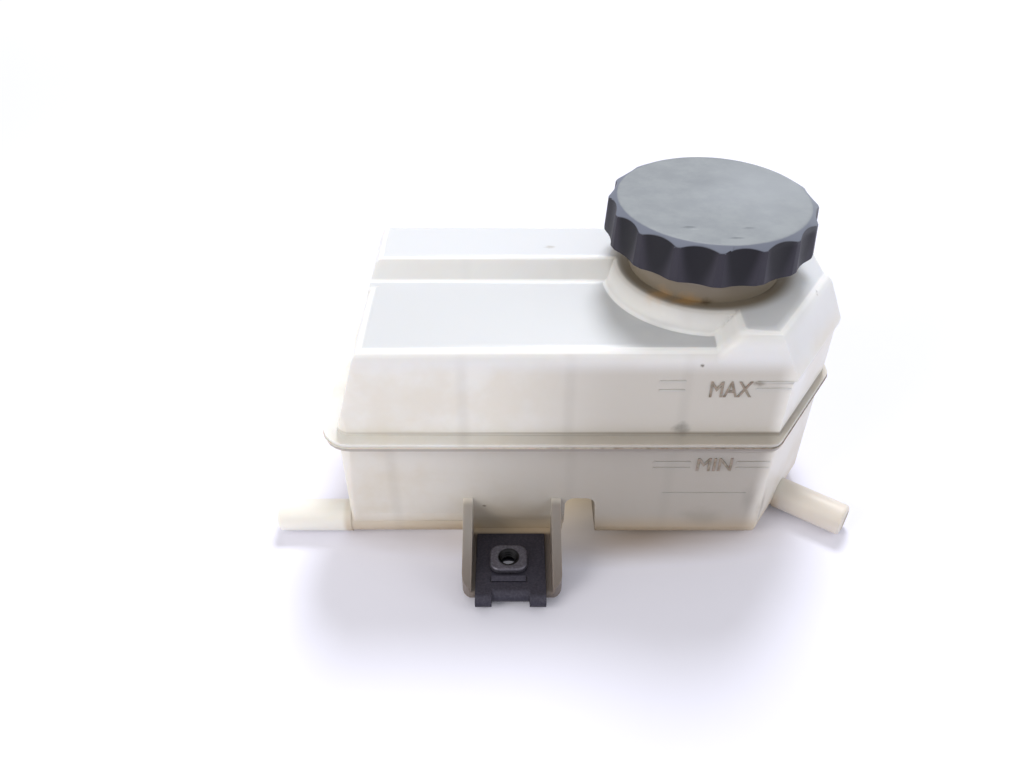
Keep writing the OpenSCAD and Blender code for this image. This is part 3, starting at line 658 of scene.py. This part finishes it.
# %% Helper for threads
def thread(name, axis, profile, z_mm, pitch_mm, turns, steps=64):
    """A helical ridge, whose profile is the radius of its root and of its crest and its width at each."""
    root_mm, crest_mm, base_mm, tip_mm = profile
    bpy.ops.object.select_all(action="DESELECT")
    bpy.ops.mesh.primitive_circle_add(vertices=4, radius=MM)
    ridge = bpy.context.object
    ridge.name = name
    corners = (
        (root_mm, -base_mm / 2), (crest_mm, -tip_mm / 2), (crest_mm, tip_mm / 2), (root_mm, base_mm / 2))
    for vertex, (radius, height) in zip(ridge.data.vertices, corners):
        vertex.co = (radius * MM, 0, height * MM)
    add_modifier(ridge, "SCREW", angle=math.tau * turns, screw_offset=pitch_mm * turns * MM,
        steps=int(steps * turns), render_steps=int(steps * turns), axis="Z")
    bpy.ops.object.mode_set(mode="EDIT")
    bpy.ops.mesh.select_all(action="SELECT")
    bpy.ops.mesh.remove_doubles(threshold=MERGE * MM)
    bpy.ops.mesh.fill_holes(sides=8)
    bpy.ops.mesh.select_all(action="SELECT")
    bpy.ops.mesh.normals_make_consistent(inside=False)
    bpy.ops.object.mode_set(mode="OBJECT")
    bpy.ops.object.shade_smooth_by_angle(angle=SMOOTH_ANGLE)
    ridge.location = axis + UPRIGHT * z_mm * MM
    print(name, "has", len(ridge.data.polygons), "faces")
    return ridge


print("a thread takes its profile and its place in millimetres")

# %% [markdown]
# The filler's thread is coarse, as on any bottle. Each thread is rooted a little inside the wall that carries
# it, so that no gap shows. The nut has an M6 thread of 1 mm pitch, which fills its height.

# %% Threads of neck, cap and nut
PITCH = 4.0
CAP_BORE = NECK_RADIUS + 1.8
THREAD_FOOT = RIM - 6
NECK_PROFILE = (NECK_RADIUS - 0.2, CAP_BORE - 0.5, 1.8, 0.7)
CAP_PROFILE = (CAP_BORE + 0.2, NECK_RADIUS + 0.5, 1.8, 0.7)
NUT_PROFILE = (2.6, 2.1, 0.85, 0.2)
NUT_PITCH = 1.0
NUT_THREAD_FOOT = nut_low.z / MM + 0.3
neck_thread = thread("neck_thread", NECK, NECK_PROFILE, THREAD_FOOT, PITCH, turns=1.2)
settle(neck_thread, "tank", upper_plastic)
cap_thread = thread("cap_thread", NECK, CAP_PROFILE, THREAD_FOOT + PITCH / 2, PITCH, turns=1.0)
settle(cap_thread, "cap", abs_plastic)
nut_thread = thread("nut_thread", NUT, NUT_PROFILE, NUT_THREAD_FOOT, NUT_PITCH, turns=2.6, steps=32)
settle(nut_thread, "tank", nut_steel)
print("threads of", PITCH, "and", NUT_PITCH, "mm pitch")

# %% [markdown]
# The clip is pressed from strip. In front of the nut a narrow tab is lanced out of the steel and bent up a
# little, which grips the bracket. It is a small block, tilted as it is bent, and bevelled.

# %% Tab of the clip
TAB = (10.2, 1.9, 0.9)
TAB_IN_FRONT = 6.6
TAB_HEIGHT = 1.1
TAB_TILT = math.radians(14)
TAB_BEVEL = 0.25
bpy.ops.object.select_all(action="DESELECT")
bpy.ops.mesh.primitive_cube_add(size=1)
tab = bpy.context.object
tab.name = "clip_tab"
tab.dimensions = Vector(TAB) * MM
tab.location = (NUT.x, NUT.y - TAB_IN_FRONT * MM, nut_low.z + TAB_HEIGHT * MM)
tab.rotation_euler = (TAB_TILT, 0, 0)
bpy.ops.object.transform_apply(location=True, rotation=True, scale=True)
add_modifier(tab, "BEVEL", width=TAB_BEVEL * MM, segments=2)
settle(tab, "tank", clip_steel)
print("tab mm:", TAB)

# %% [markdown]
# The two flanges are joined by hot-plate welding, which squeezes out a thin flash along the seam. A copy of
# the lower shell is cut just under the seam with bisect, which leaves the outlines of the cut. The longest
# one is the flange's edge. Turned into a curve it takes a round section, and so becomes a bead along the
# whole seam.

# %% Weld flash
FLASH_RADIUS = 0.28
CUT_HEIGHT = SEAM - 0.1
merged_copy("lower_shell", "weld_flash")
bpy.ops.object.mode_set(mode="EDIT")
bpy.ops.mesh.select_all(action="SELECT")
bpy.ops.mesh.bisect(
    plane_co=UPRIGHT * CUT_HEIGHT * MM, plane_no=UPRIGHT, clear_inner=True, clear_outer=True)
bpy.ops.mesh.separate(type="LOOSE")
bpy.ops.object.mode_set(mode="OBJECT")
outlines = sorted(bpy.context.selected_objects, key=lambda outline: outline.dimensions.x)
flash = outlines.pop()
for outline in outlines:
    bpy.data.objects.remove(outline)
alone(flash)
flash.name = "weld_flash"
bpy.ops.object.convert(target="CURVE")
flash.data.bevel_depth = FLASH_RADIUS * MM
flash.data.bevel_resolution = 2
bpy.ops.object.convert(target="MESH")
flash = bpy.context.object
bpy.ops.object.shade_smooth_by_angle(angle=SMOOTH_ANGLE)
settle(flash, "tank", grimed_plastic)
print("flash has", len(flash.data.polygons), "faces over", round(flash.dimensions.x / MM, 1), "mm")

# %% [markdown]
# The front wall leans in by the mould's draft, both upwards and downwards from the seam. What is moulded into
# it has to lean with it, and belongs to the shell that its height falls on.

# %% Helpers for the front wall
DRAFT = math.radians(2.35)
SUMP_LEAN = 1.2


def wall_y(z):
    """How far the front wall has leaned in at a height."""
    return (z - SEAM) * math.tan(DRAFT) if z > SEAM else SUMP_LEAN * (1 - z / SEAM)


def wall_tilt(z):
    """Angle of the front wall from upright, in radians, leaning back above the seam."""
    return -DRAFT if z > SEAM else math.atan(SUMP_LEAN / SEAM)


def settle_on_wall(mark, z, material=None):
    """Settle a mark on the shell that its height falls on, in the shell's own plastic unless told."""
    if z > SEAM:
        settle(mark, "tank", material or upper_plastic)
    else:
        settle(mark, "tank", material or lower_plastic)


print("wall leans in", round(wall_y(DECK), 2), "mm at the deck")

# %% [markdown]
# The level marks are two words and short lines that stand proud by a fifth of a millimetre. Text is made
# fatter than its font with a bevel, because the relief is rounded and smeared with grime, then turned into
# a mesh, stood up and laid back by the wall's draft.

# %% Helpers for level marks
RELIEF = 0.2
FATTER = 0.012


def word(text, left, low, height, length):
    """A moulded word, its lower left corner at a place on the front wall."""
    bpy.ops.object.select_all(action="DESELECT")
    bpy.ops.object.text_add()
    made = bpy.context.object
    made.name = "mark_" + text.lower()
    made.data.body = text
    made.data.extrude = 0.5
    made.data.bevel_depth = FATTER
    bpy.ops.object.convert(target="MESH")
    made = bpy.context.object
    span = made.dimensions.copy()
    corner = Vector(made.bound_box[0])
    for vertex in made.data.vertices:
        vertex.co.x = (vertex.co.x - corner.x) / span.x * length * MM
        vertex.co.y = (vertex.co.y - corner.y) / span.y * height * MM
        vertex.co.z = vertex.co.z * 2 * RELIEF * MM
    made.rotation_euler = (math.radians(90) + wall_tilt(low), 0, 0)
    made.location = spot(left, wall_y(low), low)
    settle_on_wall(made, low, grimed_plastic)


def line(name, x0, x1, z, thick):
    """A level moulded line on the front wall, of the wall's own plastic."""
    bpy.ops.object.select_all(action="DESELECT")
    bpy.ops.mesh.primitive_cube_add(size=1)
    made = bpy.context.object
    made.name = name
    made.dimensions = Vector((x1 - x0 + thick, 2 * RELIEF, thick)) * MM
    made.rotation_euler = (wall_tilt(z), 0, 0)
    made.location = spot((x0 + x1) / 2, wall_y(z), z)
    bpy.ops.object.transform_apply(location=True, rotation=True, scale=True)
    add_modifier(made, "BEVEL", width=RELIEF / 2 * MM, segments=2)
    settle_on_wall(made, z)


print("marks stand proud by", RELIEF, "mm")

# %% [markdown]
# The words stand on the right half of the front, where the tank is filled, with lines on both sides. A line
# is a name, its two ends along the wall, its height and its thickness.

# %% Level marks
word("MAX", 103.3, 58.7, 5.2, 11.4)
word("MIN", 103.5, 30.9, 5.2, 10.2)
LINES = (
    ("max_line_top", 115.8, 125.2, 63.6, 0.6), ("max_line_low", 116.0, 124.8, 61.4, 0.6),
    ("max_mark_top", 89.9, 96.3, 63.9, 0.6), ("max_mark_low", 89.9, 96.3, 60.9, 0.6),
    ("min_left_top", 91.0, 101.3, 34.5, 0.6), ("min_left_low", 91.2, 101.3, 32.1, 0.6),
    ("min_right_top", 115.2, 124.2, 34.5, 0.6), ("min_right_low", 115.2, 124.2, 32.1, 0.6),
    ("sump_line", 95.1, 119.6, 21.3, 0.4))
for row in LINES:
    line(*row)
print(len(LINES), "lines and two words")

# %% [markdown]
# The floor and the world share one trick. They glow more for the camera and for reflections than for the
# object, so the background is white while the object only gets the light of a pale room, and keeps its
# colour and its shadow.

# %% Helper for white surroundings
def seen_directly(tree):
    """1 for rays from the camera, a mirror or glass, and 0 for rays that light a surface."""
    path = add_node(tree, "ShaderNodeLightPath")
    mirrored = add_node(tree, "ShaderNodeMath", {"operation": "MAXIMUM"}, {
        0: path.outputs["Is Glossy Ray"], 1: path.outputs["Is Transmission Ray"]})
    return add_node(tree, "ShaderNodeMath", {"operation": "MAXIMUM"}, {
        0: path.outputs["Is Camera Ray"], 1: mirrored.outputs[0]}).outputs[0]


print("rays from the camera, a mirror or glass are told from rays that light a surface")

# %% [markdown]
# The floor is plain and pale. Under the tank and just in front of it, its colour carries painted amber light,
# which stands for light that has gone through the amber plastic, and a painted contact shadow along the
# tank's front; there it also glows a little, as painted light. Far out it glows more and more, so that it
# meets the white of the world without a hard horizon.

# %% Floor
FLOOR_METRES = 6
FAR_FROM = 350
FAR_TO = 1500
bpy.ops.object.select_all(action="DESELECT")
bpy.ops.mesh.primitive_plane_add(size=FLOOR_METRES)
floor = bpy.context.object
floor.name = "floor"
floor_material = bpy.data.materials.new("pale_floor")
floor_material.use_nodes = True
tree = floor_material.node_tree
tree.nodes.clear()
place = drawing(tree, TANK)
# Painted amber light under and in front of the tank, and a painted contact shadow along its front.
painted_amber_light = smudge(tree, place, (70, 25, 0), (78, 37, 50), 0.85, 0.2)
painted_contact_shadow = smudge(tree, place, (70, 3, 0), (78, 15, 50), 0.9, 0.2)
# The floor glows a little near the tank, as painted light.
lit_through = smudge(tree, place, (50, 18, 0), (52, 34, 50), 0.5, 0.2)
matt = add_node(tree, "ShaderNodeBsdfDiffuse", None, {
    "Color": coats(tree, colour("#eeeefb"), [("#a08d77", painted_amber_light), ("#8d7a64", painted_contact_shadow)])})
away = add_node(tree, "ShaderNodeVectorMath", LENGTH, {0: place})
far = add_node(tree, "ShaderNodeMapRange", SMOOTH, {
    "Value": away.outputs["Value"], "From Min": FAR_FROM, "From Max": FAR_TO, "To Min": 0.05, "To Max": 0.7})
glow_share = add_node(tree, "ShaderNodeMath", {"operation": "ADD"}, {0: lit_through, 1: far.outputs[0]})
strength = add_node(tree, "ShaderNodeMath", TIMES, {0: seen_directly(tree), 1: glow_share.outputs[0]})
glow = add_node(tree, "ShaderNodeEmission", None, {
    "Color": coats(tree, colour("#f4f4ff"), [("#e8cfa4", painted_amber_light)]), "Strength": strength.outputs[0]})
both = add_node(tree, "ShaderNodeAddShader", None, {0: matt.outputs[0], 1: glow.outputs[0]})
add_node(tree, "ShaderNodeOutputMaterial", None, {"Surface": both.outputs[0]})
floor.data.materials.append(floor_material)
print("floor is", floor.dimensions.x, "m wide")

# %% [markdown]
# The world is even white light, as in a bright room with pale walls. It fills the shadows from all sides.

# %% World
ROOM_LIGHT = 0.46
world = bpy.data.worlds.new("bright_room")
bpy.context.scene.world = world
world.use_nodes = True
tree = world.node_tree
tree.nodes.clear()
strength = add_node(tree, "ShaderNodeMapRange", None, {
    "Value": seen_directly(tree), "To Min": ROOM_LIGHT, "To Max": 1.0})
fill = add_node(tree, "ShaderNodeBackground", None, {
    "Color": (1, 1, 1, 1), "Strength": strength.outputs[0]})
add_node(tree, "ShaderNodeOutputWorld", None, {"Surface": fill.outputs[0]})
print("the room lights the tank at", ROOM_LIGHT, "of white")

# %% [markdown]
# One large soft lamp stands high behind the tank, as a window would, so the tank's top is its brightest side
# and the shadow falls towards the camera. A smaller one at the front left lights the walls, and is so near
# that its light falls off along the tank. A weak one lights the chamfered end.

# %% Lamps
LAMPS_AIM = Vector((0, 0, 0.04))


def soft_lamp(name, place, size, watts, code):
    """A round soft lamp at a place in metres, aimed at the tank."""
    lamp_data = bpy.data.lights.new(name, "AREA")
    lamp_data.shape = "DISK"
    lamp_data.size = size
    lamp_data.energy = watts
    lamp_data.color = colour(code)[:3]
    lamp = bpy.data.objects.new(name, lamp_data)
    lamp.location = Vector(place)
    lamp.rotation_euler = (LAMPS_AIM - lamp.location).to_track_quat("-Z", "Y").to_euler()
    lamp.visible_camera = False
    bpy.context.scene.collection.objects.link(lamp)


soft_lamp("window_lamp", (0.16, 0.70, 1.18), 0.45, 12.0, "#f7f9ff")
soft_lamp("front_lamp", (-0.46, -0.34, 0.34), 0.35, 1.7, "#fffaf2")
soft_lamp("end_lamp", (0.46, -0.16, 0.26), 0.3, 0.45, "#ffffff")
bpy.context.scene.view_settings.view_transform = "Standard"
